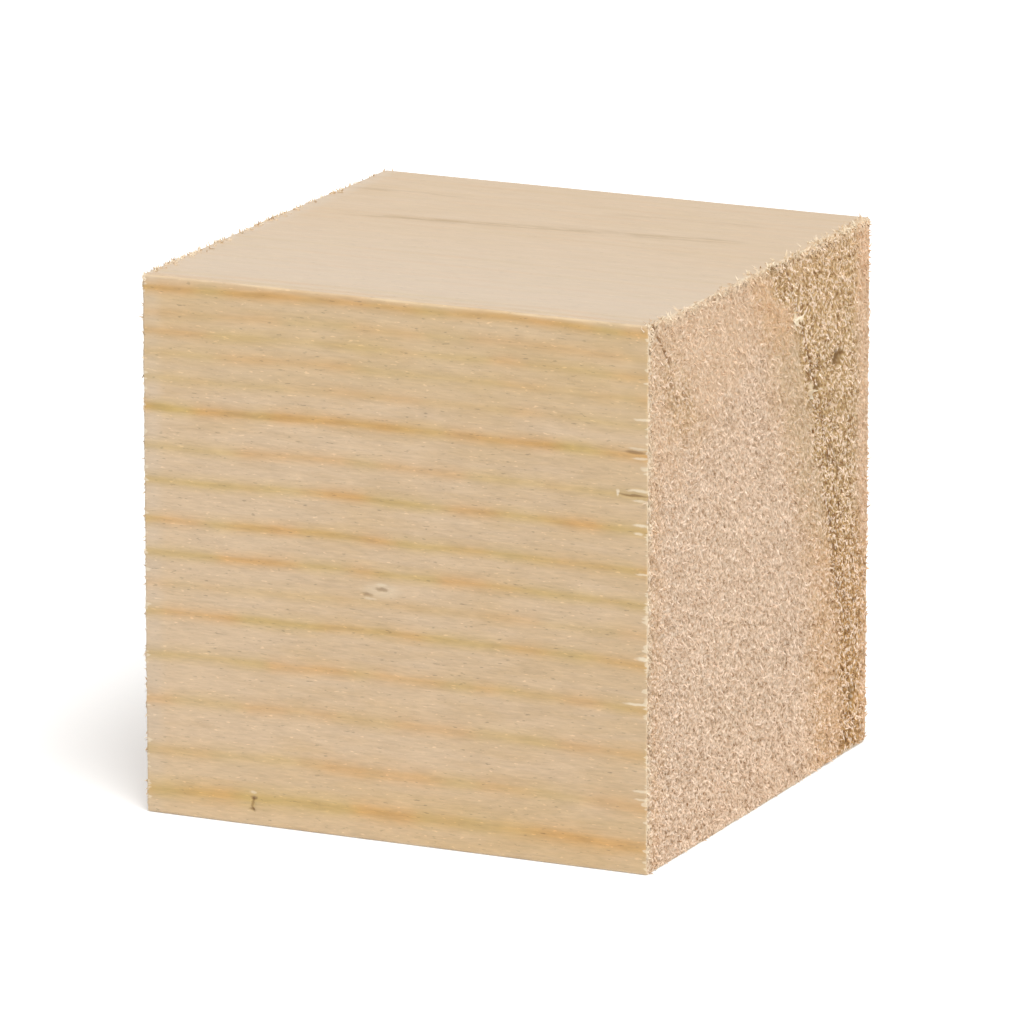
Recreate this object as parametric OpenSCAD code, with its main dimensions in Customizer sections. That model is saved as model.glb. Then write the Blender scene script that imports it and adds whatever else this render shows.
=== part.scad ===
// A solid cube of planed softwood. The grain runs along X, so the two X faces are
// sawn end grain and the other four are planed. The front face looks along -Y.
// The origin is in the middle of the bottom face.

/* [Block] */
// Length of each side
side = 50; // [30:0.5:80]

/* [Edges] */
// Rounding of the four edges that run along the grain
grain_edge_r = 0.6; // [0.2:0.1:3]
// Rounding of the eight edges around the two sawn ends
end_edge_r = 0.5; // [0.2:0.1:3]

/* [Pin knot in the front face] */
// Width of the dimple
knot_w = 2; // [0.5:0.1:4]
// Depth of the dimple
knot_depth = 0.3; // [0.1:0.05:0.8]
// Distance from the left end to the middle of the dimple
knot_from_left = 23.4; // [4:0.1:26]
// Distance from the top to the middle of the dimple
knot_from_top = 26.4; // [4:0.1:27]

/* [Splits at the right end of the front face] */
// Distance that each split runs in from the end
split_length = 2.4; // [1:0.1:6]
// Opening of each split at the end
split_gap = 0.35; // [0.1:0.05:0.8]
// Depth of each split behind the front face
split_depth = 0.9; // [0.3:0.1:3]
// Distance from the top to the upper split
upper_split_from_top = 11.4; // [4:0.1:13]
// Distance from the top to the lower split
lower_split_from_top = 15.4; // [14:0.1:26]

/* [Nick low on the front face] */
// Height of the nick
nick_h = 1.5; // [0.5:0.1:3]
// Width of the nick
nick_w = 0.4; // [0.2:0.05:1]
// Depth of the nick
nick_depth = 0.3; // [0.1:0.05:0.8]
// Distance from the left end to the nick
nick_from_left = 10.9; // [4:0.1:26]
// Distance from the bottom to the middle of the nick
nick_from_bottom = 2.4; // [2.3:0.1:20]

/* [Torn pits in the right end] */
// Depth of each pit
pit_depth = 0.4; // [0.1:0.05:0.8]
// Width of the upper pit
upper_pit_w = 1.6; // [0.5:0.1:3]
// Distance from the back face to the upper pit
upper_pit_from_back = 8.3; // [5:0.1:20]
// Distance from the top to the upper pit
upper_pit_from_top = 11.5; // [5:0.1:14]
// Width of the lower pit
lower_pit_w = 1.2; // [0.5:0.1:3]
// Distance from the back face to the lower pit
lower_pit_from_back = 4.5; // [4:0.1:20]
// Distance from the bottom to the lower pit
lower_pit_from_bottom = 5.6; // [4:0.1:13]

/* [Hidden] */
$fn = 48;
half = side / 2;
past = 1;

// Square section of the block with all four corners rounded to r
module eased_section(r) {
    flat = side - 2 * r;
    square([side, flat], center = true);
    square([flat, side], center = true);
    for (x = [-1, 1], y = [-1, 1])
        translate([x, y] * flat / 2) circle(r);
}

// The section r, run the whole way through the block along Z
module eased_bar(r) {
    linear_extrude(height = side, center = true) eased_section(r);
}

// The cube before it was marked, with every edge eased
module blank() {
    intersection() {
        rotate([0, 90, 0]) eased_bar(grain_edge_r);
        rotate([90, 0, 0]) eased_bar(end_edge_r);
        eased_bar(end_edge_r);
    }
}

// Ball that leaves a round hollow w wide and depth deep in the plane z = 0
module hollow_cutter(w, depth) {
    r = (w * w / 4 + depth * depth) / (2 * depth);
    translate([0, 0, r - depth]) sphere(r);
}

module pin_knot() {
    translate([knot_from_left - half, -half, half - knot_from_top])
        rotate([90, 0, 0]) hollow_cutter(knot_w, knot_depth);
}

// Wedge that opens at the right end and closes to nothing along the grain
module end_split(from_top) {
    flare = split_gap / 2 * (split_length + past) / split_length;
    translate([half - split_length, split_depth - half, half - from_top])
        rotate([90, 0, 0])
            linear_extrude(height = split_depth + past)
                polygon([[0, 0], [split_length + past, -flare], [split_length + past, flare]]);
}

// Upright V cut, as a knock from a sharp corner leaves
module nick() {
    flare = nick_w / 2 * (nick_depth + past) / nick_depth;
    translate([nick_from_left - half, nick_depth - half, nick_from_bottom - half])
        linear_extrude(height = nick_h, center = true)
            polygon([[0, 0], [-flare, -nick_depth - past], [flare, -nick_depth - past]]);
}

module end_pit(y, z, w) {
    translate([half, y, z]) rotate([0, 90, 0]) hollow_cutter(w, pit_depth);
}

module block() {
    color([0.83, 0.72, 0.56])
        translate([0, 0, half])
            difference() {
                blank();
                pin_knot();
                end_split(upper_split_from_top);
                end_split(lower_split_from_top);
                nick();
                end_pit(half - upper_pit_from_back, half - upper_pit_from_top, upper_pit_w);
                end_pit(half - lower_pit_from_back, lower_pit_from_bottom - half, lower_pit_w);
            }
}

block();
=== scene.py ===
import math
import random
import bpy
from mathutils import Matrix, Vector


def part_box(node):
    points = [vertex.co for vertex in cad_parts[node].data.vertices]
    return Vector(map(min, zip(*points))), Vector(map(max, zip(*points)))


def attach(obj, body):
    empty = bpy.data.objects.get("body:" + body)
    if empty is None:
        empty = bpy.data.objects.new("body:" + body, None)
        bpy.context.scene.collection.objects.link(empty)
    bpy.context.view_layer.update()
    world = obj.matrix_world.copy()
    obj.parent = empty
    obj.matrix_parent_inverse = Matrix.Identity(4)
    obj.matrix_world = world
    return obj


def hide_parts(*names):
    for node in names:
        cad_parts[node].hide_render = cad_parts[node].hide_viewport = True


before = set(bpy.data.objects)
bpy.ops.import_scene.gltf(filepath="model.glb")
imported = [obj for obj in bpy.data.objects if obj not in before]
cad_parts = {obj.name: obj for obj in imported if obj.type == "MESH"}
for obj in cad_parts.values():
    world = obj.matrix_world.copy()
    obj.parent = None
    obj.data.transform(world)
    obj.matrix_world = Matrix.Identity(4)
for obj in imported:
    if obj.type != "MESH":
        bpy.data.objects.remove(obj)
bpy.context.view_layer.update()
blockLow, blockHigh = (Vector(corner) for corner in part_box("block"))
middle = (blockLow + blockHigh) / 2
mm = 1000  # millimetres in a metre: shapes and patterns are worked out in mm from the cube's middle
half = (blockHigh.z - blockLow.z) / 2 * mm
print("frame loaded, cube of", round(2 * half, 2), "mm")


def linearColor(hexText):
    parts = [int(hexText[i:i + 2], 16) / 255 for i in (1, 3, 5)]
    linear = [p / 12.92 if p <= 0.04045 else ((p + 0.055) / 1.055) ** 2.4 for p in parts]
    return (*linear, 1.0)


# begins a node tree: addNode puts its nodes into the tree that was begun last
def beginTree(tree):
    global begun
    begun = tree
    tree.nodes.clear()


# adds a node with its settings, and fills its sockets, in order or by name, with numbers, hex colours,
# sockets or whole nodes; the start of a shader node's kind is left out, and an operation may follow it
def addNode(kind, *inputs, **settings):
    kind, _, operation = kind.partition(" ")
    if operation:
        settings["operation"] = operation
    node = begun.nodes.new(kind if "Node" in kind else "ShaderNode" + kind)
    for name, value in settings.items():
        setattr(node, name, value)
    sockets = [socket for socket in node.inputs if socket.enabled]
    named = inputs[0] if inputs and isinstance(inputs[0], dict) else dict(enumerate(inputs))
    for key, value in named.items():
        socket = sockets[key] if isinstance(key, int) else next(s for s in sockets if s.name == key)
        if isinstance(value, bpy.types.Node):
            value = next(s for s in value.outputs if s.enabled)
        if isinstance(value, bpy.types.NodeSocket):
            begun.links.new(value, socket)
        elif isinstance(value, str) and value.startswith("#"):
            socket.default_value = linearColor(value)
        else:
            socket.default_value = value
    return node


# puts things together by one operation, each in turn with what came before it
def addChain(operation, *things):
    result = things[0]
    for thing in things[1:]:
        result = addNode("Math " + operation, result, thing)
    return result


# multiplies shares; one written as (value, low, high) is a smooth step of value, from 0 at low to 1 at high
def addShare(*shares):
    steps = [addNode("MapRange", *share, interpolation_type="SMOOTHSTEP")
             if isinstance(share, tuple) else share for share in shares]
    return addChain("MULTIPLY", *steps)


# lays coats over a colour, one after another, each written as (share, its colour)
def addCoats(color, *coats):
    for share, coat in coats:
        color = addNode("Mix", share, color, coat, data_type="RGBA")
    return color


# how far value is from place, either way
def addAway(value, place):
    return addNode("Math ABSOLUTE", addNode("Math SUBTRACT", value, place))


# a random pattern from 0 to 1 on spot, whose patches have a size in mm each way
def addPattern(spot, size, detail=3.0):
    spot = addNode("VectorMath DIVIDE", spot, size)
    return addNode("TexNoise", {"Vector": spot, "Scale": 1.0, "Detail": detail}).outputs[0]


# the same, as much under 0 as over it
def addStray(spot, size, detail=3.0):
    return addNode("Math SUBTRACT", addPattern(spot, size, detail), 0.5)


# puts given points on a curve node, joined by straight lines
def setCurve(node, points):
    curve = node.mapping.curves[0]
    curve.points[0].location = points[0]
    curve.points[-1].location = points[-1]
    for point in points[1:-1]:
        curve.points.new(*point)
    for point in curve.points:
        point.handle_type = "VECTOR"
    node.mapping.update()


# spot in mm from the cube's middle, from a place in metres
def addSpot(place):
    return addNode("VectorMath MULTIPLY_ADD", place, (mm, mm, mm), tuple(-mm * middle))


# The tree's pith lies along X, in front of the cube and below it, so the rings are tubes about it:
# level lines on the front, steep arcs on the sawn ends, fine straight lines on the top.
wood = {
    "pithFront": 93.0,  # mm from the cube's middle forward to the pith
    "pithDown": 39.0,  # mm from the cube's middle down to the pith
    "aroundRadius": 105.0,  # mm from the pith, where ways round it are measured
    "firstRing": 68.86,  # mm from the pith to the first latewood line in the block
    "lastRing": 136.0,
    # width in mm and darkness of the latewood line of each ring, from the pith outwards
    "frontRings": ((1.2, 0.85), (0.95, 0.9), (1.5, 0.58), (1.55, 0.52), (1.7, 0.68), (1.2, 0.8),
                   (1.35, 0.35), (1.55, 0.8), (2.0, 0.84), (1.8, 0.84), (2.15, 0.52), (1.7, 1.0),
                   (1.5, 0.4), (1.3, 0.45), (1.15, 0.55), (1.5, 0.35), (1.2, 0.95), (1.1, 0.3), (1.1, 0.3)),
    "backWidth": (1.1, 2.1),  # the rings behind those
    "backDarkness": (0.05, 0.22),
    "widest": 4.0,  # mm, more than any ring
    # slow years whose earlywood is darker: mm from the pith where they begin and end
    "denseYears": ((86.5, 89.0, 92.5, 93.5), (67.0, 68.0, 70.2, 71.2)),
    "denseShare": 0.17,
    "lateSpread": (0.43, 0.75),  # mm that a line's colour reaches to either side, near the pith and far out
    "lateSpreadAt": (70.0, 86.0),
    # how dark a line is across its width: it swells slowly, then fades slowly again
    "lateShape": ((0, 0), (0.13, 0.07), (0.23, 0.27), (0.32, 0.5), (0.41, 0.85), (0.46, 0.97), (0.5, 1),
                  (0.54, 0.97), (0.59, 0.83), (0.68, 0.5), (0.77, 0.3), (0.87, 0.16), (1, 0)),
    "orangeLines": (85.8, 92.95),  # mm from the pith, the two lines that are orange nearly all along
    "bow": 0.27,  # mm that the lines sink at both ends of the cube
    "lean": 0.16,  # mm that they rise from the middle to the right end
    "wander": 0.7,  # mm that each one strays by itself
    "wanders": (0.08, 0.07, 0.07),  # how often, on each mm
    "fray": 0.14,  # mm that fibres blur their edges
    "frays": (0.25, 2.5, 2.5),
    "seed": 7,
}


# inner radius, width and darkness of every ring in the block
def ringList():
    draw = random.Random(wood["seed"])
    radius = wood["firstRing"]
    rings = []
    for width, darkness in wood["frontRings"]:
        rings.append((radius, width, darkness))
        radius += width
    while radius < wood["lastRing"]:
        width = draw.uniform(*wood["backWidth"])
        rings.append((radius, width, draw.uniform(*wood["backDarkness"])))
        radius += width
    return rings, radius


rings, ringsEnd = ringList()
print(len(rings), "growth rings")


# spot drawn out by often each way, as a random pattern as much under 0 as over it
def addWander(spot, often, detail):
    spot = addNode("VectorMath MULTIPLY", spot, often)
    wander = addNode("TexNoise", {"Vector": spot, "Scale": 1.0, "Detail": detail})
    return addNode("Math SUBTRACT", wander, 0.5)


# a value for each ring, looked up by its number
def addRingValue(number, values):
    count = len(rings)
    place = addNode("Math MULTIPLY_ADD", number, 1 / count, 0.5 / count)
    curve = addNode("FloatCurve", {"Value": place})
    setCurve(curve, [((i + 0.5) / count, value) for i, value in enumerate(values)])
    return curve


# adds the nodes that find, at spot, the distance from the pith and the way round it in mm, how much of the
# wood is latewood, and which line is nearest
def addRings(spot):
    start, reach, count = rings[0][0], ringsEnd - rings[0][0], len(rings)
    parts = addNode("SeparateXYZ", spot)
    along = addNode("Math DIVIDE", parts.outputs["X"], half)
    bent = addNode("Math MULTIPLY_ADD", along, wood["bow"], -wood["lean"])
    bent = addNode("Math MULTIPLY", bent, along)
    wander = addWander(spot, wood["wanders"], 4.0)
    bent = addNode("Math MULTIPLY_ADD", wander, wood["wander"], bent)
    bent = addNode("CombineXYZ", {"Z": bent})
    across = addNode("VectorMath ADD", spot, bent)
    across = addNode("VectorMath MULTIPLY_ADD", across, (0, 1, 1), (0, wood["pithFront"], wood["pithDown"]))
    straight = addNode("VectorMath LENGTH", across)
    around = addNode("SeparateXYZ", across)
    around = addNode("Math ARCTAN2", around.outputs["Z"], around.outputs["Y"])
    around = addNode("Math MULTIPLY", around, wood["aroundRadius"])
    fray = addWander(spot, wood["frays"], 3.0)
    radius = addNode("Math MULTIPLY_ADD", fray, wood["fray"], straight)

    place = addNode("MapRange", radius, start, start + reach)
    years = addNode("FloatCurve", {"Value": place})
    starts = [((inner - start) / reach, i / count) for i, (inner, _, _) in enumerate(rings)]
    setCurve(years, starts + [(1, 1)])
    years = addNode("Math MULTIPLY", years, count)
    year = addNode("Math FLOOR", years)
    width = addRingValue(year, [wide / wood["widest"] for _, wide, _ in rings])
    # the nearest line, and how far inwards or outwards of its middle a point is
    line = addNode("Math ROUND", years)
    darkness = addRingValue(line, [dark for _, _, dark in rings])
    off = addNode("Math SUBTRACT", years, line)
    off = addChain("MULTIPLY", off, width, wood["widest"])
    spread = addNode("MapRange", radius, *wood["lateSpreadAt"], *wood["lateSpread"])
    off = addNode("Math DIVIDE", off, spread)
    off = addNode("MapRange", off, -1.0, 1.0)
    late = addNode("FloatCurve", {"Value": off})
    setCurve(late, wood["lateShape"])
    late = addNode("Math MULTIPLY", late, darkness)
    return {"radius": radius, "around": around, "late": late, "line": line}


# what the saw left on the ends besides the rings, in mm from the pith, or up or back from the middle
sawnEnd = {
    # a brown band of wood along the back
    "bandStart": (113.4, 115.6),  # from the pith
    "bandLean": 0.055,  # how much further out that is for each mm up
    "bandTop": (20.0, 22.5, 2.2),  # up, from where it starts nearer the pith, and by how much
    "bandBack": (23.0, 20.0),  # back, where it gives way along the edge
    "bandFoot": (-9.0, 0.0, -2.5),  # up, below which it runs closer to that edge, and by how much
    "bandDepth": (115.5, 119.5, 0.72),  # from the pith, darkest along its inner side, and what is left then
    "bandPatchy": 0.9,
    "bandFade": (20.5, 23.5, 0.7),  # up, where it fades under the top edge, and what is left then
    "bandStray": 6.0,  # mm that its edges stray by
    "strayScale": 0.3,
    # a duller patch high up on the front side, with one straight side along a ring
    "patchRadius": 93.2,
    "patchSize": (6.0, 15.0),  # across, and down from the top edge
    "patchFade": (8.0, 2.0, 0.3),  # down from the top edge, and what is left of it there
    # torn lines in that patch and along the band: from the pith, from and to how far up, darkness
    "scores": ((94.0, 19.6, 30.0, 0.85), (94.3, 14.5, 19.6, 0.5), (93.0, 15.5, 21.0, 0.35),
               (95.2, 14.0, 19.0, 0.4), (116.8, 3.0, 30.0, 0.9), (114.9, -13.0, 3.0, 0.8)),
    "scoreWidth": (0.24, 0.08),  # half width of their soft and of their dark part
    "scoreEnd": 1.5,  # over which they fade at both ends
    "flakes": ((7.2, 18.7), (8.2, 18.5), (10.9, 11.4)),  # pale ones, back and up
    "flakeReach": (0.58, 0.42),
    # zones where the wood is tan, and how strong that is
    "tanStart": (105.5, 112.5),  # from the pith, beside the band
    "tanFoot": (-6.0, -18.0, 3.0),  # up, where it widens low down, and by how much
    "oliveHeights": ((19.0, 15.0), (-5.0, 2.0)),  # up, between which it is more olive
    "highStart": (13.0, 22.0, 0.4),  # up, under the top edge, where it is lower towards the front
    "highSlope": 0.375,
    "frontStart": (-20.0, -24.0, 0.5),  # back, behind the front edge
    "behindStart": (21.0, 23.0),  # back, pinker again along the back edge
    "footStart": (-15.0, -21.0, 1.05),  # up, low down, where it is a little lighter
    "rustHeights": (2.0, -10.0),  # up, where the band turns from brown to rust
    "holes": (121.0, 116.5),  # from the pith, dark holes along the inner side of the band
    "zoneBlur": (6.0, 12.0),  # mm that the zones' edges stray by, across and up
}


# how brown the sawn end is at spot, from 0 to 1
def addBrown(spot, radius):
    parts = addNode("SeparateXYZ", spot).outputs
    stray = addNode("TexNoise", {"Vector": spot, "Scale": sawnEnd["strayScale"], "Detail": 6.0,
                                 "Roughness": 0.7})
    stray = addNode("Math SUBTRACT", stray, 0.5)
    edge = addNode("Math MULTIPLY_ADD", stray, sawnEnd["bandStray"], radius)
    edge = addNode("Math MULTIPLY_ADD", parts["Z"], -sawnEnd["bandLean"], edge)
    low, high, wider = sawnEnd["bandTop"]
    edge = addNode("Math MULTIPLY_ADD", addShare((parts["Z"], low, high)), wider, edge)
    back = addNode("Math MULTIPLY_ADD", stray, sawnEnd["bandStray"], parts["Y"])
    low, high, closer = sawnEnd["bandFoot"]
    back = addNode("Math ADD", back, addNode("MapRange", parts["Z"], low, high, closer, 0.0))
    inner, outer, left = sawnEnd["bandDepth"]
    depth = addNode("MapRange", edge, inner, outer, 1.0, left)
    depth = addNode("Math MULTIPLY_ADD", stray, sawnEnd["bandPatchy"], depth, use_clamp=True)
    low, high, left = sawnEnd["bandFade"]
    fade = addNode("MapRange", parts["Z"], low, high, 1.0, left)
    return addShare((edge, *sawnEnd["bandStart"]), (back, *sawnEnd["bandBack"]), depth, fade)


# how far a point at that height lies on one of the scores, from 0 to 1
def addScores(height, ringed):
    scored = []
    for place, lowest, highest, darkness in sawnEnd["scores"]:
        away = addAway(ringed["radius"], place)
        lane = addNode("CombineXYZ", ringed["around"], place)
        torn = addPattern(lane, (1.2, 1, 1))
        lower = (height, lowest, lowest + sawnEnd["scoreEnd"])
        upper = (height, highest, highest - sawnEnd["scoreEnd"])
        scored.append(addShare((away, *sawnEnd["scoreWidth"]), lower, upper, (torn, 0.25, 0.5), darkness))
    return addChain("MAXIMUM", *scored)


cube = {
    "rounding": 0.28,  # mm, eased edges at the front
    "backRounding": 0.65,  # mm, at the back
    "roundingChange": 0.25,  # mm that the easing varies by along an edge
    "ridge": 0.006,  # mm that latewood stands above earlywood on the planed faces
    "wave": 0.04,  # mm that the planed faces are out of flat
    "sawnRough": 0.14,  # mm deep, torn surface of the sawn ends
    "sawnRidge": 0.13,  # mm that earlywood is torn deeper than latewood there
    "alongStep": 1.15,  # mm between mesh lines along the grain, away from edges and marks
    "acrossStep": 0.6,  # mm across the grain
    "edgeStep": 0.13,
    "edgeStepReach": 0.5,  # mm from an edge
    "stepGrowth": 0.45,  # how fast the steps widen away from edges and marks
}

# knocks and tears: middle and half widths in mm from the cube's middle, depth in mm, mesh step there,
# and how dark its bottom is painted, partly stain and partly painted shade in the hollow
marks = {
    "upperDent": ((-1.2, -25, -1.6), (0.95, 3, 0.27), 0.06, 0.17, 0.55),
    "lowerDent": ((-2.6, -25, -2.2), (0.85, 3, 0.24), 0.05, 0.17, 0.48),
    "upperSplit": ((23.6, -25, 13.5), (1.5, 1.5, 0.2), 0.06, 0.14, 0.6),
    "lowerSplit": ((23.5, -25, 9.6), (2.0, 1.5, 0.17), 0.07, 0.14, 0.7),
    "nick": ((-14.1, -25, -22.95), (0.27, 3, 0.85), 0.08, 0.15, 0.58),
    "nickTop": ((-14.0, -25, -22.4), (0.4, 3, 0.28), 0.1, 0.15, 0.68),
    "nickFoot": ((-14.2, -25, -23.5), (0.45, 3, 0.24), 0.1, 0.15, 0.65),
    "upperPit": ((25, 17.5, 13.2), (3, 1.6, 1.2), 0.45, 0.25, 0.9),
    "middlePit": ((25, 12.7, 11.3), (3, 1.0, 0.8), 0.35, 0.25, 0.8),
    "lowerPit": ((25, 21.3, -19.9), (3, 1.1, 1.6), 0.4, 0.25, 0.85),
}

# where such a knock or the saw left the wood pale, and painted highlights on the lips beside the dents, the
# nick and the splits: middle and half widths in mm, and how pale
paleMarks = {
    "knot": ((-1.0, -25, -1.75), (2.6, 3, 0.95), 0.3),
    "knotTop": ((-1.2, -25, -1.2), (0.9, 3, 0.17), 0.35),
    "knotFoot": ((-2.3, -25, -2.55), (0.8, 3, 0.16), 0.38),
    "aboveNick": ((-14.0, -25, -21.9), (0.4, 3, 0.2), 0.5),
    "overSplit": ((24.0, -25, 10.05), (1.6, 3, 0.18), 0.7),
    "underSplit": ((24.2, -25, 9.15), (1.3, 3, 0.16), 0.6),
    "splitEnd": ((22.0, -25, 9.7), (0.25, 3, 0.45), 0.8),
    "overFleck": ((24.0, -25, 13.85), (1.5, 3, 0.18), 0.5),
    "underFleck": ((24.2, -25, 13.0), (1.2, 3, 0.16), 0.6),
}

# torn fibres along the front's right edge, from the top down: mm right and up, half widths, and how pale
tornFibres = ((24.3, 16.5, 1.3, 0.18, 0.7), (24.6, 12.1, 0.7, 0.3, 0.6), (24.2, 6.9, 1.2, 0.2, 0.8),
              (23.9, 6.2, 0.7, 0.18, 0.7), (24.4, 2.5, 0.9, 0.16, 0.7), (24.4, -5.2, 1.0, 0.28, 0.9),
              (23.8, -9.4, 1.7, 0.18, 0.8), (24.3, -17.3, 1.2, 0.18, 0.7), (24.4, -18.1, 1.0, 0.16, 0.6))


# how much the marks take at spot: each is an oval with its most in the middle
def addMarks(spot, ovals):
    shares = []
    for where, reach, most in ovals:
        away = addNode("VectorMath SUBTRACT", spot, where)
        away = addNode("VectorMath DIVIDE", away, reach)
        away = addNode("VectorMath LENGTH", away)
        shares.append(addShare((away, 1.0, 0.3), most))
    return addChain("ADD", *shares)


# mesh lines along one axis: close together at both edges and at each mark, further apart between
def meshLines(axis):
    widest = cube["acrossStep"] if axis else cube["alongStep"]
    lines = [-half]
    fine = [(edge, cube["edgeStepReach"], cube["edgeStep"]) for edge in (-half, half)]
    fine += [(where[axis], reach[axis], step) for where, reach, _, step,
             _ in marks.values() if abs(where[axis]) < half]
    while lines[-1] < half:
        at = lines[-1]
        steps = [step + cube["stepGrowth"] * max(0, abs(at - spot) - reach) for spot, reach, step in fine]
        lines.append(at + min(widest, *steps))
    stretch = 2 * half / (lines[-1] + half)
    return [(line + half) * stretch - half for line in lines]


# the skin of a box whose corners all lie on the mesh lines
def boxSkin(name):
    lines = [meshLines(axis) for axis in range(3)]
    last = [len(run) - 1 for run in lines]
    print("mesh lines:", [end + 1 for end in last])
    numbers, places, quads = {}, [], []

    def corner(index):
        if index not in numbers:
            numbers[index] = len(places)
            places.append(middle + Vector(lines[axis][index[axis]] for axis in range(3)) / mm)
        return numbers[index]

    for axis in range(3):
        u, v = (axis + 1) % 3, (axis + 2) % 3
        for end in (0, last[axis]):
            for i in range(last[u]):
                for j in range(last[v]):
                    square = []
                    for du, dv in ((0, 0), (1, 0), (1, 1), (0, 1)):
                        index = [0, 0, 0]
                        index[axis], index[u], index[v] = end, i + du, j + dv
                        square.append(corner(tuple(index)))
                    quads.append(square if end else square[::-1])
    mesh = bpy.data.meshes.new(name)
    mesh.from_pydata(places, [], quads)
    piece = bpy.data.objects.new(name, mesh)
    bpy.context.collection.objects.link(piece)
    return piece


# an empty geometry tree with a named input for each size
def newTree(name, sizes):
    tree = bpy.data.node_groups.new(name, "GeometryNodeTree")
    beginTree(tree)
    tree.interface.new_socket(name="Geometry", in_out="INPUT", socket_type="NodeSocketGeometry")
    tree.interface.new_socket(name="Geometry", in_out="OUTPUT", socket_type="NodeSocketGeometry")
    for size in sizes:
        tree.interface.new_socket(name=size, in_out="INPUT", socket_type="NodeSocketFloat")
    return tree, addNode("NodeGroupInput").outputs


# runs the tree on the piece and keeps the result as its plain mesh
def applyTree(piece, tree, sizes):
    modifier = piece.modifiers.new(tree.name, "NODES")
    modifier.node_group = tree
    for socket in tree.interface.items_tree:
        if socket.in_out == "INPUT" and socket.name in sizes:
            modifier[socket.identifier] = float(sizes[socket.name])
    bpy.context.view_layer.update()
    shaped = piece.evaluated_get(bpy.context.evaluated_depsgraph_get())
    mesh = bpy.data.meshes.new_from_object(shaped)
    piece.modifiers.remove(modifier)
    piece.data = mesh


# keeps value in the geometry under a name, for a material or a later node to read
def addKept(geometry, name, value, domain="POINT", kind="FLOAT"):
    return addNode("GeometryNodeStoreNamedAttribute", {"Geometry": geometry, "Name": name, "Value": value},
                   data_type=kind, domain=domain)


# edges: every point is pulled onto a ball that rolls inside the box
def addEased(spot, given):
    change = addNode("TexNoise", {"Vector": spot, "Scale": 0.45, "Detail": 4.0})
    change = addNode("Math SUBTRACT", change, 0.5)
    back = addNode("SeparateXYZ", spot)
    back = addShare((back.outputs["Y"], 5.0, 20.0))
    radius = addNode("Mix", back, given["rounding"], given["backRounding"])
    radius = addNode("Math MULTIPLY_ADD", change, given["roundingChange"], radius)
    inset = addNode("Math SUBTRACT", half, radius)
    inset = addNode("CombineXYZ", inset, inset, inset)
    outset = addNode("VectorMath MULTIPLY", inset, (-1, -1, -1))
    core = addNode("VectorMath MINIMUM", spot, inset)
    core = addNode("VectorMath MAXIMUM", core, outset)
    outward = addNode("VectorMath SUBTRACT", spot, core)
    outward = addNode("VectorMath NORMALIZE", outward)
    eased = addNode("VectorMath SCALE", outward, radius)
    return addNode("VectorMath ADD", core, eased), outward


def cubeTree(material):
    tree, given = newTree("wornCube", [name for name in cube if "step" not in name.lower()])
    spot = addSpot(addNode("GeometryNodeInputPosition"))
    eased, outward = addEased(spot, given)

    # how far each point belongs to a sawn end, and to a planed edge
    facing = addNode("VectorMath ABSOLUTE", outward)
    facing = addNode("SeparateXYZ", facing).outputs
    sawn = addShare((facing["X"], 0.35, 0.8))
    # the long rounded edges of the planed faces, which the material paints paler: partly wear, partly a
    # painted highlight along their rounding
    edgeWearAndHighlight = addNode("Math MULTIPLY", facing["Y"], facing["Z"])
    edgeWearAndHighlight = addNode("Math MULTIPLY", edgeWearAndHighlight, 2.0)

    # planed faces: latewood ridges on a slow wave
    ringed = addRings(eased)
    early = addNode("Math SUBTRACT", 1.0, ringed["late"])
    ridge = addNode("Math MULTIPLY", early, given["ridge"])
    wave = addNode("TexNoise", {"Vector": eased, "Scale": 0.06, "Detail": 2.0})
    planed = addNode("Math MULTIPLY_ADD", wave, given["wave"], ridge)

    # sawn ends: torn fibres, with the soft earlywood torn deeper
    torn = addNode("TexNoise", {"Vector": eased, "Scale": 0.8, "Detail": 6.0, "Roughness": 0.7})
    torn = addNode("Math MULTIPLY", torn, given["sawnRough"])
    more = addNode("Math ADD", addBrown(eased, ringed["radius"]), 1.0)
    torn = addNode("Math MULTIPLY", torn, more)
    torn = addNode("Math MULTIPLY_ADD", early, given["sawnRidge"], torn)
    depth = addNode("Mix", sawn, planed, torn)

    marked = addMarks(eased, [(where, reach, deep) for where, reach, deep, _, _ in marks.values()])
    depth = addNode("Math ADD", depth, marked)
    sunk = addNode("Math MULTIPLY", depth, -1.0)
    sunk = addNode("VectorMath SCALE", outward, sunk)
    final = addNode("VectorMath ADD", eased, sunk)
    final = addNode("VectorMath MULTIPLY_ADD", final, (1 / mm,) * 3, tuple(middle))
    body = addKept(given["Geometry"], "sawn", sawn)
    body = addKept(body, "edgeWearAndHighlight", edgeWearAndHighlight)
    body = addNode("GeometryNodeSetPosition", {"Geometry": body, "Position": final})
    body = addNode("GeometryNodeSetShadeSmooth", {"Geometry": body, "Shade Smooth": True})
    body = addNode("GeometryNodeRealizeInstances", {"Geometry": body})
    body = addNode("GeometryNodeSetMaterial", {"Geometry": body, "Material": material})
    addNode("NodeGroupOutput", {"Geometry": body})
    return tree


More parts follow.
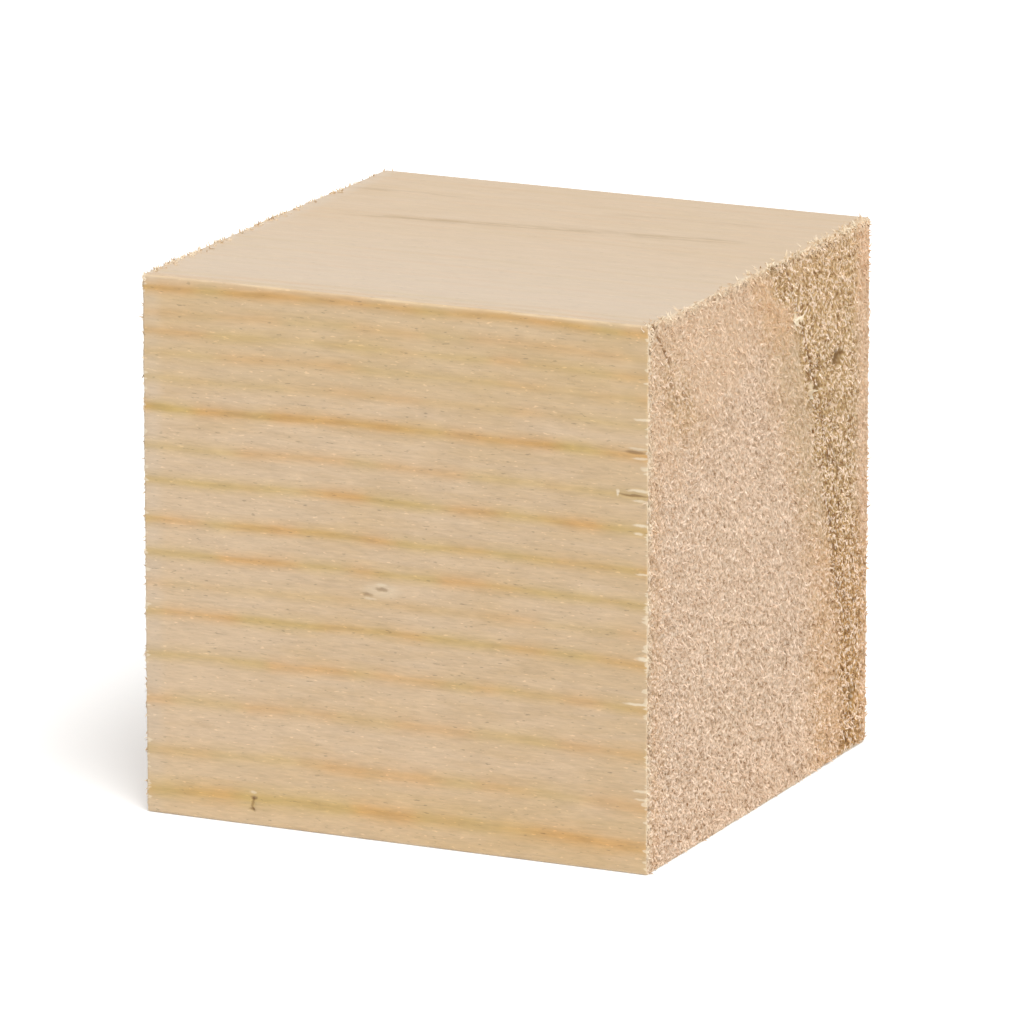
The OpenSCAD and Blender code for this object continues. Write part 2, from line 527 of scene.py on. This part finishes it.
# Planed spruce: pale straw earlywood with thin amber latewood lines and a soft sheen at a low angle.
# Sawn end grain: the same wood cut across, so duller and pinker, full of light fibre tips and dark gaps.
spruce = {
    "early": "#CEB391",
    "earlyCool": "#D0B696",
    "earlyWarm": "#CCB08B",
    "earlyPale": "#CFB89C",  # on the top next to the front edge, and along the left edge
    "lateOlive": "#C3A565",
    "lateOrange": "#CD9E5E",
    "thread": "#A58650",  # the hard last cells of a year
    # paler rubbed wood along the long edges of the planed faces, also a painted highlight on their rounding
    "paleEdgeAndHighlight": "#E6D0AC",
    "torn": "#EBDBC0",
    # dark brown at the bottom of the knocks and tears: partly stain, partly painted shade in the hollows
    "stainAndShade": "#7E5C30",
    "planedRoughness": 0.34,
    "sawnPale": "#DFC6AC",
    "sawnTan": "#DBBA94",
    "sawnOlive": "#D3B997",
    "sawnBack": "#E3C0A0",
    "sawnBrown": "#CBAB75",
    "sawnRust": "#CCA263",  # low in the band
    "sawnGap": "#916A40",  # between the fibres, where little light gets out again
    "sawnTip": "#FDE7D2",
    "sawnDot": "#6E4C2C",
    "sawnRoughness": 0.85,
    "ior": 1.5,
    # planed faces: sizes of their patterns in mm along the grain and across it
    "linesApart": 3.7,  # from one latewood line to the next, so that each one has its own pattern
    "fadeSize": (11, 1, 1),
    "fadeTone": (0.7, 1.05),
    "hueSize": (8, 0.8, 1),
    "mottleSize": (6.0, 1.0, 1.0),
    "streakSize": (13, 2.8, 2.8),
    "dashSize": (0.9, 0.2, 0.2),  # pores and nicks, drawn coarser than a single one
    "fleckSize": (0.9, 0.13, 0.13),
    "liftedSize": (1.9, 0.3, 0.3),  # fibres that stand up a little
    "fibreWidth": 0.12,  # bundles of fibres that catch the light
    "fibreLength": 0.9,
    "fibreTones": ((1, 0.3), (2.5, 0.22), (6, 0.12)),  # how much coarser each layer is, and its strength
    "poreTone": -0.32,
    "nickTone": 0.27,
    "fleckTone": (0.05, 0.2),  # far from the pith, and near it
    "threadTone": 0.4,
    "moreOrange": 0.05,
    "evenFrom": (92.5, 96.0),  # mm from the pith, from where the wood grew more evenly
    "paleFrom": (92.5, 95.0),  # mm from the pith, pale wood, and where it ends
    "paleTo": (120.0, 98.0),
    "warmLow": (91.0, 84.0),  # mm from the pith, low on the front, where left is cooler than right
    "leftTint": (-0.1, 0.16),
    # painted light: the planed faces are painted a little lighter towards their left end, standing in for
    # light from that side
    "leftTone": (0.987, 1.021),
    # darker streaks on the top: mm to the right and back at both ends, half width in mm, darkness
    "streaks": ((-20, 5.6, 19, 9.6, 1.5, 0.5), (-16, 6.1, 6, 8.3, 0.5, 0.3),
                (-25, 16.2, -12, 16.9, 0.8, 0.4), (2, 15.6, 18, 16.6, 0.9, 0.25)),
    # sawn ends: sizes in mm in from the end, across the rings and along them, of tips and gaps and of
    # single bundles of fibres, both drawn coarser than real ones so that they show
    "speckleSize": (1.2, 0.24, 0.5),
    "clumpSize": (1.2, 0.28, 0.42),
    "speckleTone": 0.6,
    "clumpTone": 0.35,
    "clumpRim": 0.6,  # how much darker the gaps round them are
    "calmTones": (1.8, 1.05),  # contrast of the speckle, where it is liveliest and where calmest
    "lowTone": 1.28,  # more of it towards the bottom edge
    "bandTone": 2.6,  # and in the brown band
    "patchTone": 0.8,
    "unevenTone": (0.92, 1.08),
}


# the colour of the latewood lines, which turn from olive to orange along their length
def addLateColor(lane, ringed):
    hue = addPattern(lane, spruce["hueSize"], 1.0)
    for place in wood["orangeLines"]:
        near = addShare((addAway(ringed["radius"], place), 0.9, 0.6))
        hue = addNode("Math MULTIPLY_ADD", near, spruce["moreOrange"], hue)
    return addCoats(spruce["lateOlive"], (addShare((hue, 0.4, 0.62)), spruce["lateOrange"]))


# the colour of the earlywood, which drifts between cool and warm in long streaks
def addEarlyColor(spot, parts, radius, mottle, even):
    streak = addStray(spot, spruce["streakSize"], 1.5)
    streak = addNode("Math MULTIPLY", streak, 0.7)
    streak = addNode("Math MULTIPLY_ADD", mottle, 0.6, streak)
    leftwards = addNode("MapRange", parts["X"], half, -half, *spruce["leftTint"])
    streak = addNode("Math ADD", streak, addShare(leftwards, (radius, *spruce["warmLow"])))
    streak = addNode("Math MULTIPLY_ADD", streak, even, 0.5)
    tint = addNode("ValToRGB", {"Fac": streak})
    elements = tint.color_ramp.elements
    elements.new(0.5)
    for element, (at, name) in zip(elements, ((0.36, "earlyWarm"), (0.5, "early"), (0.64, "earlyCool"))):
        element.position = at
        element.color = linearColor(spruce[name])
    pale = addShare((radius, *spruce["paleFrom"]), (radius, *spruce["paleTo"]))
    leftEdge = addShare((parts["X"], 2.5 - half, 1 - half))
    pale = addNode("Math MAXIMUM", pale, leftEdge)
    early = addCoats(tint.outputs["Color"], (pale, spruce["earlyPale"]))
    for start, full, ending, end in wood["denseYears"]:
        dense = addShare((radius, start, full), (radius, end, ending), wood["denseShare"])
        early = addCoats(early, (dense, spruce["lateOlive"]))
    return early


# the dark streaks on the top, laid over its colour
def addStreaks(spot, parts, color):
    for left, nearer, right, further, width, darkness in spruce["streaks"]:
        slope = (further - nearer) / (right - left)
        back = addNode("Math MULTIPLY_ADD", parts["X"], slope, nearer - slope * left)
        away = addAway(parts["Y"], back)
        share = addShare((away, width, 0.1), (parts["X"], left - 1, left + 3),
                         (parts["X"], right + 1, right - 3), (parts["Z"], 20.0, 24.0),
                         (addPattern(spot, (4, 0.5, 0.5)), 0.35, 0.6), darkness)
        color = addCoats(color, (share, spruce["thread"]))
    return color


# how much lighter or darker fibres, pores and nicks make a planed face, around 1, with painted light
# towards the left end
def addFibres(spot, parts, radius, mottle, even):
    shade = addNode("Math MULTIPLY", mottle, 0.06)
    for coarse, strength in spruce["fibreTones"]:
        width = 2 * spruce["fibreWidth"] * coarse
        bundle = addStray(spot, (2 * spruce["fibreLength"] * coarse ** 0.3, width, width))
        shade = addNode("Math MULTIPLY_ADD", bundle, strength, shade)
    dash = addPattern(spot, spruce["dashSize"], 2.0)
    pore = addShare((dash, 0.36, 0.26), spruce["poreTone"])
    nick = addShare((dash, 0.64, 0.74), spruce["nickTone"])
    fleck = addStray(spot, spruce["fleckSize"], 1.0)
    low = addShare((radius, *spruce["warmLow"]))
    fleck = addNode("Math MULTIPLY", fleck, addNode("MapRange", low, 0.0, 1.0, *spruce["fleckTone"]))
    shade = addChain("ADD", shade, pore, nick, fleck)
    # painted light: lighter towards the left end, standing in for light from that side
    leftwards = addNode("MapRange", parts["X"], 15.0, -half, *spruce["leftTone"])
    return addNode("Math MULTIPLY_ADD", shade, even, leftwards)


# the colour of the planed faces at spot, and how far fibres are lifted there
def addPlaned(spot, ringed):
    parts = addNode("SeparateXYZ", spot).outputs
    # each latewood line comes and goes along its length, apart from the others
    apart = addNode("Math MULTIPLY", ringed["line"], spruce["linesApart"])
    lane = addNode("CombineXYZ", parts["X"], apart)
    fade = addNode("MapRange", addPattern(lane, spruce["fadeSize"]), 0.3, 0.6, *spruce["fadeTone"])
    late = addNode("Math MULTIPLY", ringed["late"], fade)
    even = addNode("MapRange", ringed["radius"], *spruce["evenFrom"], 1.0, 0.5)
    mottle = addStray(spot, spruce["mottleSize"], 2.0)
    early = addEarlyColor(spot, parts, ringed["radius"], mottle, even)
    thread = addShare((ringed["late"], 0.55, 1.0), (addPattern(lane, (5, 1, 1)), 0.42, 0.7),
                      spruce["threadTone"])
    color = addCoats(early, (late, addLateColor(lane, ringed)), (thread, spruce["thread"]))
    color = addStreaks(spot, parts, color)
    shade = addFibres(spot, parts, ringed["radius"], mottle, even)
    lifted = addShare((addPattern(spot, spruce["liftedSize"]), 0.5, 0.75), even)
    return addNode("Mix", 1.0, color, shade, data_type="RGBA", blend_type="MULTIPLY"), lifted


# where on a sawn end the wood is brown, tan or duller, each from 0 to 1, and the strayed places for more
def addZones(spot, parts, ringed):
    blur = addStray(spot, (2.5, 2.5, 2.5), 4.0)
    across, up = sawnEnd["zoneBlur"]
    edge = addNode("Math MULTIPLY_ADD", blur, across, ringed["radius"])
    height = addNode("Math MULTIPLY_ADD", blur, up, parts["Z"])
    wider = addShare((parts["Z"], *sawnEnd["tanFoot"][:2]), sawnEnd["tanFoot"][2])
    wider = addNode("Math ADD", edge, wider)
    sloping = addNode("Math MULTIPLY_ADD", parts["Y"], -sawnEnd["highSlope"], height)
    front = addNode("Math MULTIPLY_ADD", blur, -across, parts["Y"])
    # the duller patch
    width, depth = sawnEnd["patchSize"]
    fullTop, topEdge, left = sawnEnd["patchFade"]
    inPatch = addAway(edge, sawnEnd["patchRadius"])
    fade = addNode("MapRange", height, half - fullTop, half - topEdge, 1.0, left)
    return {
        "edge": edge,
        "height": height,
        "brown": addBrown(spot, ringed["radius"]),
        "strip": addShare((wider, *sawnEnd["tanStart"])),
        "high": addShare((sloping, *sawnEnd["highStart"][:2]), sawnEnd["highStart"][2]),
        "front": addShare((front, *sawnEnd["frontStart"][:2]), sawnEnd["frontStart"][2]),
        "behind": addShare((parts["Y"], *sawnEnd["behindStart"])),
        "patch": addShare((inPatch, width / 2 + 1, 1.2), (height, half - depth, half - depth + 5), fade),
    }


# a sawn end's colour before its speckle
def addEndColor(spot, parts, ringed, zones):
    strip, height, patch = zones["strip"], zones["height"], zones["patch"]
    weaker = addNode("Math MULTIPLY", patch, 0.6)
    tan = addChain("MAXIMUM", strip, zones["high"], zones["front"], weaker)
    upper, lower = sawnEnd["oliveHeights"]
    between = addShare((height, *upper), (height, *lower))
    olive = addNode("Math MULTIPLY", strip, between)
    tanColor = addCoats(spruce["sawnTan"], (olive, spruce["sawnOlive"]))
    rusty = addShare((height, *sawnEnd["rustHeights"]))
    bandColor = addCoats(spruce["sawnBrown"], (rusty, spruce["sawnRust"]))
    pink = addNode("Math MULTIPLY", zones["behind"], 0.5)
    dull = addNode("Math MULTIPLY", patch, 0.25)
    dull = addNode("Math MAXIMUM", zones["brown"], dull)
    forwards = addNode("Math MULTIPLY", parts["Y"], -1.0)
    outer = addNode("Math MAXIMUM", parts["Z"], forwards)
    creamy = addShare((outer, half - 1.4, half - 0.3), (addPattern(spot, (1.5, 1.5, 1.5)), 0.3, 0.6), 0.5)
    color = addCoats(spruce["sawnPale"], (tan, tanColor), (pink, spruce["sawnBack"]), (dull, bandColor),
                     (creamy, spruce["torn"]))
    start, end, lighter = sawnEnd["footStart"]
    foot = addNode("MapRange", parts["Z"], start, end, 1.0, lighter)
    color = addNode("Mix", 1.0, color, foot, data_type="RGBA", blend_type="MULTIPLY")
    scored = addShare(addScores(parts["Z"], ringed), (parts["X"], 0, 1))
    return addCoats(color, (scored, spruce["sawnGap"]))


# how strong the speckle is: strongest in the brown, weakest in the tan
def addContrast(spot, parts, zones):
    tanAbove = addShare(zones["strip"], (zones["height"], 2.0, 12.0))
    calmer = [addNode("Math MULTIPLY", zones[name], share)
              for name, share in (("high", 2.5), ("front", 0.5), ("behind", 0.8))]
    calm = addChain("MAXIMUM", tanAbove, *calmer)
    calm = addNode("MapRange", calm, 0.0, 1.0, *spruce["calmTones"])
    lower = addNode("MapRange", parts["Z"], 0.0, -20.0, 1.0, spruce["lowTone"])
    contrast = addNode("Math MULTIPLY", calm, lower)
    for name, tone in (("brown", "bandTone"), ("patch", "patchTone")):
        contrast = addNode("Math MULTIPLY_ADD", zones[name], spruce[tone], contrast)
    uneven = addNode("MapRange", addPattern(spot, (3, 3, 3)), 0.35, 0.65, *spruce["unevenTone"])
    return addNode("Math MULTIPLY", contrast, uneven)


# clumps of tips and gaps in rows along the rings: dark gaps are under 0 and light tips over it
def addSpeckle(polar):
    speck = addPattern(polar, spruce["speckleSize"], 1.0)
    speck = addNode("Math MULTIPLY_ADD", speck, spruce["speckleTone"], -spruce["speckleTone"] / 2)
    # single fibre bundles, light in the middle with dark gaps between, some much lighter or darker
    clump = addNode("VectorMath DIVIDE", polar, spruce["clumpSize"])
    clump = addNode("TexVoronoi", {"Vector": clump, "Scale": 1.0}).outputs
    tone = addNode("SeparateXYZ", clump["Color"])
    tone = addNode("Math MULTIPLY_ADD", tone.outputs["X"], 2.0, -1.0)
    tone = addShare(tone, tone, tone, (clump["Distance"], 0.6, 0.2))
    speck = addNode("Math MULTIPLY_ADD", tone, spruce["clumpTone"], speck)
    rim = addNode("Math SUBTRACT", 0.5, clump["Distance"])
    return addNode("Math MULTIPLY_ADD", rim, spruce["clumpRim"], speck)


# the colour of the sawn ends at spot, and their speckle
def addSawn(spot, ringed, lighter=0.0):
    parts = addNode("SeparateXYZ", spot).outputs
    zones = addZones(spot, parts, ringed)
    color = addEndColor(spot, parts, ringed, zones)
    polar = addNode("CombineXYZ", parts["X"], ringed["radius"], ringed["around"])
    speckle = addNode("Math MULTIPLY_ADD", lighter, 0.4, addSpeckle(polar))
    speckle = addNode("Math MULTIPLY", speckle, addContrast(spot, parts, zones))
    gap = addNode("Math MULTIPLY", speckle, -1.1, use_clamp=True)
    tip = addNode("Math MULTIPLY", speckle, 1.4, use_clamp=True)
    holes = addNode("TexVoronoi", {"Vector": polar, "Scale": 1.0})
    holes = addShare((holes.outputs["Distance"], 0.36, 0.2), zones["brown"],
                     (zones["edge"], *sawnEnd["holes"]), (addPattern(spot, (2, 2, 2)), 0.42, 0.52), 0.6)
    color = addCoats(color, (gap, spruce["sawnGap"]), (tip, spruce["sawnTip"]), (holes, spruce["sawnDot"]))
    return color, speckle


# an empty material, with the places in mm that its patterns are laid out on
def newMaterial(name):
    material = bpy.data.materials.new(name)
    material.use_nodes = True
    beginTree(material.node_tree)
    return material, addSpot(addNode("TexCoord").outputs["Object"])


# values that the geometry trees kept
def readKept(*names):
    return [addNode("Attribute", attribute_name=name).outputs["Fac"] for name in names]


def spruceMaterial():
    material, spot = newMaterial("planedAndSawnSpruce")
    sawn, edgeWearAndHighlight = readKept("sawn", "edgeWearAndHighlight")
    ringed = addRings(spot)
    planed, lifted = addPlaned(spot, ringed)
    # painted highlight: the long rounded edges are painted paler, partly as wear and partly for the
    # highlight they catch
    rubbedAndHighlit = addShare(edgeWearAndHighlight, (addPattern(spot, (5, 1, 1)), 0.4, 0.65), 0.6)
    planed = addCoats(planed, (rubbedAndHighlit, spruce["paleEdgeAndHighlight"]))
    ends, speckle = addSawn(spot, ringed)

    # the saw lifted splinters from the planed faces, and left a pale torn line along their sawn edges
    inwards = addNode("SeparateXYZ", spot)
    inwards = addNode("Math ABSOLUTE", inwards.outputs["X"])
    inwards = addNode("Math SUBTRACT", half, inwards)
    splinters = addNode("MapRange", addPattern(spot, (3, 0.4, 0.4), 2.0), 0.5, 0.75, 0.15, 0.9)
    gone = addNode("Math SUBTRACT", splinters, inwards)
    torn = addShare((gone, 0.0, 0.2), 0.6)
    corner = addNode("Math SUBTRACT", 1.0, sawn)
    corner = addChain("MULTIPLY", sawn, corner, 4.0)
    broken = addShare(corner, (addPattern(spot, (1.5, 1.5, 1.5), 2.0), 0.35, 0.5), 0.75)

    # knocks and tears, with ragged outlines
    ragged = addNode("TexNoise", {"Vector": spot, "Scale": 1.3, "Detail": 3.0})
    ragged = addNode("VectorMath SUBTRACT", ragged.outputs["Color"], (0.5, 0.5, 0.5))
    ragged = addNode("VectorMath MULTIPLY_ADD", ragged, (1.0, 0.3, 0.3), spot)
    tears = [((right, -half, up), (long, 3, thick), most) for right, up, long, thick, most in tornFibres]
    # pale torn wood, and painted highlights on the lips beside the dents, the nick and the splits
    pale = addMarks(ragged, [*paleMarks.values(), *tears])
    # the bottoms of the knocks and tears painted dark: partly stain, partly painted shade in the hollows
    stainedAndShaded = addMarks(ragged, [(where, reach, stainAndShade) for where, reach, _, _, stainAndShade in marks.values()])
    color = addCoats(planed, (torn, spruce["torn"]), (sawn, ends), (broken, spruce["torn"]),
                     (pale, spruce["torn"]), (stainedAndShaded, spruce["stainAndShade"]))

    rough = addNode("Mix", sawn, spruce["planedRoughness"], spruce["sawnRoughness"])
    lifted = addNode("Math MULTIPLY", lifted, 0.15)
    relief = addNode("Mix", sawn, lifted, speckle)
    bump = addNode("Bump", {"Height": relief, "Distance": 0.0001, "Strength": 0.8})
    surface = addNode("BsdfPrincipled", {"Base Color": color, "Roughness": rough, "IOR": spruce["ior"],
                                         "Normal": bump})
    addNode("OutputMaterial", {"Surface": surface})
    return material


spruceWood = spruceMaterial()
woodenCube = boxSkin("woodenCube")
applyTree(woodenCube, cubeTree(spruceWood), cube)
print("cube shaped,", len(woodenCube.data.polygons) * 2, "triangles")


fuzz = {
    "apart": 0.00026,  # m, closest that two clumps of fibres stand on the sawn end
    "edgeMore": 9.0,  # more of them on a square millimetre of the strip along the top and front edges
    "edgeStrip": 1.0,  # mm
    "crumbs": 18.0,  # crumbs on a square millimetre of the top beside them
    "crumbStrip": 1.1,  # mm
    "thickness": 0.09,  # mm, half width of a clump at its root
    "length": 0.45,  # mm
    "rightLift": 0.4,  # how far they stand off the surface
    "leftLift": 0.12,
    "seed": 11,
}


# a random value for each clump of fibres, from least to most
def addRandom(number, least, most, kind="FLOAT"):
    return addNode("FunctionNodeRandomValue", {"Min": least, "Max": most, "Seed": fuzz["seed"] + number},
                   data_type=kind)


# where the clumps stand: evenly over the sawn end but not in its pits, more along two edges, and crumbs on
# the top beside them
def addRoots(given, side, clump):
    spot = addSpot(addNode("GeometryNodeInputPosition"))
    parts = addNode("SeparateXYZ", spot).outputs
    sawn = addNode("GeometryNodeInputNamedAttribute", {"Name": "sawn"}, data_type="FLOAT")
    pits = addMarks(spot, [(where, reach, deep) for where, reach, deep, _, _ in marks.values()])
    outwards = addNode("Math MULTIPLY", parts["X"], side)
    onSide = addNode("FunctionNodeCompare GREATER_THAN", {"A": outwards, "B": half - 2}, data_type="FLOAT")
    forwards = addNode("Math MULTIPLY", parts["Y"], -1.0)
    outer = addNode("Math MAXIMUM", forwards, parts["Z"])
    inner = addNode("Math SUBTRACT", half, given["edgeStrip"])
    nearEdge = addNode("MapRange", outer, inner, half - 0.2)
    scored = addShare((parts["X"], 0.0, 1.0), addScores(parts["Z"], addRings(spot)))
    bare = addShare((pits, 0.1, 0.02), (parts["Y"], half, half - 0.9), (scored, 0.5, 0.1))
    even = addNode("Math MULTIPLY", sawn, bare)
    extra = addChain("MULTIPLY", nearEdge, sawn, bare, given["edgeMore"])
    reach = addNode("Math SUBTRACT", half, given["crumbStrip"])
    nearSaw = addNode("MapRange", outwards, reach, half)
    crumbs = addShare((parts["Z"], half - 1.0, half - 0.5), nearSaw, (clump, 0.46, 0.56), given["crumbs"])
    extra = addNode("Math ADD", extra, crumbs)
    extra = addNode("Math MULTIPLY", extra, mm * mm)
    most = 60.0 * mm * mm  # on a square metre, more than find room
    face = {"Mesh": given["Geometry"], "Selection": onSide, "Seed": fuzz["seed"]}
    evenly = addNode("GeometryNodeDistributePointsOnFaces",
                     {**face, "Distance Min": given["apart"], "Density Max": most, "Density Factor": even},
                     distribute_method="POISSON")
    loosely = addNode("GeometryNodeDistributePointsOnFaces", {**face, "Density": extra})
    stands = [addKept(roots.outputs["Points"], "stand", roots.outputs["Normal"], kind="FLOAT_VECTOR")
              for roots in (evenly, loosely)]
    roots = addNode("GeometryNodeJoinGeometry", stands[1])
    begun.links.new(stands[0].outputs[0], roots.inputs[0])
    return roots, nearEdge


# which way each clump points: it leans up or down, as the saw laid it, and stands off the surface a little
def addTurn(given, side):
    normal = addNode("GeometryNodeInputNamedAttribute", {"Name": "stand"}, data_type="FLOAT_VECTOR")
    lean = addRandom(1, (-0.6, -0.2, -0.6), (0.6, 0.2, 1.0), "FLOAT_VECTOR")
    off = addNode("VectorMath DOT_PRODUCT", lean.outputs["Value"], normal)
    off = addNode("VectorMath SCALE", normal, off.outputs["Value"])
    lean = addNode("VectorMath SUBTRACT", lean, off)
    lift = addRandom(2, 0.05, given["rightLift" if side > 0 else "leftLift"])
    aim = addNode("VectorMath SCALE", normal, lift)
    aim = addNode("VectorMath ADD", aim, lean)
    return addNode("FunctionNodeAlignRotationToVector", {"Vector": aim}, axis="Z")


# one clump of fibres, which knows how far along it a point is
def addSpike(given):
    thickness, length = (addNode("Math DIVIDE", given[size], mm) for size in ("thickness", "length"))
    spike = addNode("GeometryNodeMeshCone", {"Vertices": 3, "Radius Top": 0.0, "Radius Bottom": thickness,
                                             "Depth": length})
    height = addNode("SeparateXYZ", addNode("GeometryNodeInputPosition"))
    height = addNode("Math DIVIDE", height.outputs["Z"], length)
    return addKept(spike.outputs["Mesh"], "fibreTip", height)


# loose ends of fibres on one sawn end, as closed spikes
def fuzzTree(material, side):
    tree, given = newTree("sawnFuzz", [name for name in fuzz if name != "seed"])
    spot = addSpot(addNode("GeometryNodeInputPosition"))
    clump = addNode("TexNoise", {"Vector": spot, "Scale": 0.9, "Detail": 2.0})
    roots, nearEdge = addRoots(given, side, clump)
    thick, long = addRandom(3, 0.6, 1.35), addRandom(4, 0.5, 1.4)
    size = addNode("CombineXYZ", thick, thick, long)
    # the pale flakes are clumps drawn wide and flat
    flakes = []
    for place in sawnEnd["flakes"]:
        away = addNode("VectorMath DISTANCE", spot, (half, *place))
        flakes.append(addShare((away, *sawnEnd["flakeReach"])))
    flake = addChain("MAXIMUM", *flakes)
    wider = addNode("VectorMath SCALE", (2.4, 1.3, 0.9), flake)
    wider = addNode("VectorMath ADD", wider, (1, 1, 1))
    size = addNode("VectorMath MULTIPLY", size, wider)
    fibres = addNode("GeometryNodeInstanceOnPoints", {"Points": roots, "Instance": addSpike(given),
                                                      "Rotation": addTurn(given, side), "Scale": size})

    tone = addRandom(5, 0.0, 1.0)
    pale = addNode("MapRange", clump, 0.4, 0.6, 0.4, 0.95)
    pale = addShare(nearEdge, nearEdge, pale, (tone.outputs["Value"], 0.2, 0.5))
    pale = addNode("Math MAXIMUM", pale, flake)
    fibres = addKept(fibres, "fibreTone", tone, "INSTANCE")
    fibres = addKept(fibres, "fibrePale", pale, "INSTANCE")
    fibres = addNode("GeometryNodeRealizeInstances", {"Geometry": fibres})

    # none of them reaches into what the cube stands on
    place = addNode("GeometryNodeInputPosition")
    lowest = addNode("VectorMath MAXIMUM", place, (-1, -1, 0.05 / mm))
    fibres = addNode("GeometryNodeSetPosition", {"Geometry": fibres, "Position": lowest})
    fibres = addNode("GeometryNodeSetMaterial", {"Geometry": fibres, "Material": material})
    addNode("NodeGroupOutput", {"Geometry": fibres})
    return tree


# Torn spruce fibres: the end grain's own colour, each one lighter or darker, with pale tips.
def fuzzMaterial():
    material, spot = newMaterial("tornSpruceFibre")
    tip, tone, pale = readKept("fibreTip", "fibreTone", "fibrePale")
    tone = addNode("MapRange", tone, 0.0, 1.0, -0.45, 0.4)
    lighter = addNode("Math MULTIPLY_ADD", tip, 0.3, tone)
    color, _ = addSawn(spot, addRings(spot), lighter)
    color = addCoats(color, (pale, spruce["torn"]))
    surface = addNode("BsdfPrincipled", {"Base Color": color, "Roughness": 0.75, "IOR": spruce["ior"]})
    addNode("OutputMaterial", {"Surface": surface})
    return material


spruceFibre = fuzzMaterial()
fuzzPieces = []
for name, side in (("rightSawnFuzz", 1), ("leftSawnFuzz", -1)):
    piece = bpy.data.objects.new(name, woodenCube.data.copy())
    bpy.context.collection.objects.link(piece)
    applyTree(piece, fuzzTree(spruceFibre, side), fuzz)
    print(name, "made,", sum(len(face.vertices) - 2 for face in piece.data.polygons), "triangles")
    fuzzPieces.append(piece)

for piece in [woodenCube] + fuzzPieces:
    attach(piece, "root")
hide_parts("block")


studio = {
    "floorColor": "#F2F1EF",
    "floorSize": 6.0,  # m
    "floorGlow": 0.3,  # makes the lit floor pure white to the camera alone
    "farGlow": 1.0,  # the same, where the softbox no longer reaches
    "farStart": 0.12,  # m from the cube to where the floor begins to fade into white
    "farEnd": 0.6,  # m
    "tent": 0.5,  # white all round
    "keyPower": 19.5,  # W
    "keySize": 0.8,  # m
    "keyPlace": (0.52, -0.52, 1.25),
}


# 1 for rays that see the floor or the tent directly, in a gloss or through glass
def addSeen():
    rays = addNode("LightPath").outputs
    seen = addNode("Math ADD", rays["Is Camera Ray"], rays["Is Glossy Ray"])
    return addNode("Math ADD", seen, rays["Is Transmission Ray"], use_clamp=True)


def buildFloor():
    reach = studio["floorSize"] / 2
    mesh = bpy.data.meshes.new("floor")
    mesh.from_pydata([(-reach, -reach, 0), (reach, -reach, 0), (reach, reach, 0), (-reach, reach, 0)], [],
                     [(0, 1, 2, 3)])
    floor = bpy.data.objects.new("floor", mesh)
    bpy.context.collection.objects.link(floor)
    paint = bpy.data.materials.new("matteWhitePaint")
    paint.use_nodes = True
    beginTree(paint.node_tree)
    matte = addNode("BsdfDiffuse", {"Color": studio["floorColor"]})
    away = addNode("VectorMath LENGTH", addNode("TexCoord").outputs["Object"])
    glow = addNode("MapRange", away, studio["farStart"], studio["farEnd"], studio["floorGlow"],
                   studio["farGlow"])
    glow = addNode("Math MULTIPLY", addSeen(), glow)
    glow = addNode("Emission", {"Strength": glow})
    both = addNode("AddShader", matte, glow)
    addNode("OutputMaterial", {"Surface": both})
    mesh.materials.append(paint)


def buildLights():
    world = bpy.data.worlds.new("tent")
    bpy.context.scene.world = world
    world.use_nodes = True
    beginTree(world.node_tree)
    level = addNode("MapRange", addSeen(), 0.0, 1.0, studio["tent"], 1.0)
    light = addNode("Background", {"Strength": level})
    addNode("OutputWorld", {"Surface": light})

    key = bpy.data.lights.new("softbox", "AREA")
    key.energy = studio["keyPower"]
    key.size = studio["keySize"]
    lamp = bpy.data.objects.new("softbox", key)
    lamp.location = studio["keyPlace"]
    lamp.rotation_euler = (middle - lamp.location).to_track_quat("-Z", "Y").to_euler()
    bpy.context.collection.objects.link(lamp)


buildFloor()
buildLights()

camera = {
    "azimuth": 25.05,  # degrees round from the front towards the right end
    "elevation": 14.0,
    "distance": 0.896,  # m from the cube's middle
    "lens": 345.0,  # mm on a 36 mm sensor
}


def placeCamera():
    turn, rise = math.radians(camera["azimuth"]), math.radians(camera["elevation"])
    back = Vector((math.sin(turn) * math.cos(rise), -math.cos(turn) * math.cos(rise), math.sin(rise)))
    lens = bpy.data.cameras.new("camera")
    lens.lens = camera["lens"]
    lens.sensor_width = 36.0
    lens.clip_start = 0.01
    view = bpy.data.objects.new("camera", lens)
    view.location = middle + back * camera["distance"]
    view.rotation_euler = back.to_track_quat("Z", "Y").to_euler()
    bpy.context.collection.objects.link(view)
    bpy.context.scene.camera = view


placeCamera()
bpy.context.scene.view_settings.view_transform = "Standard"
print("studio and camera placed")
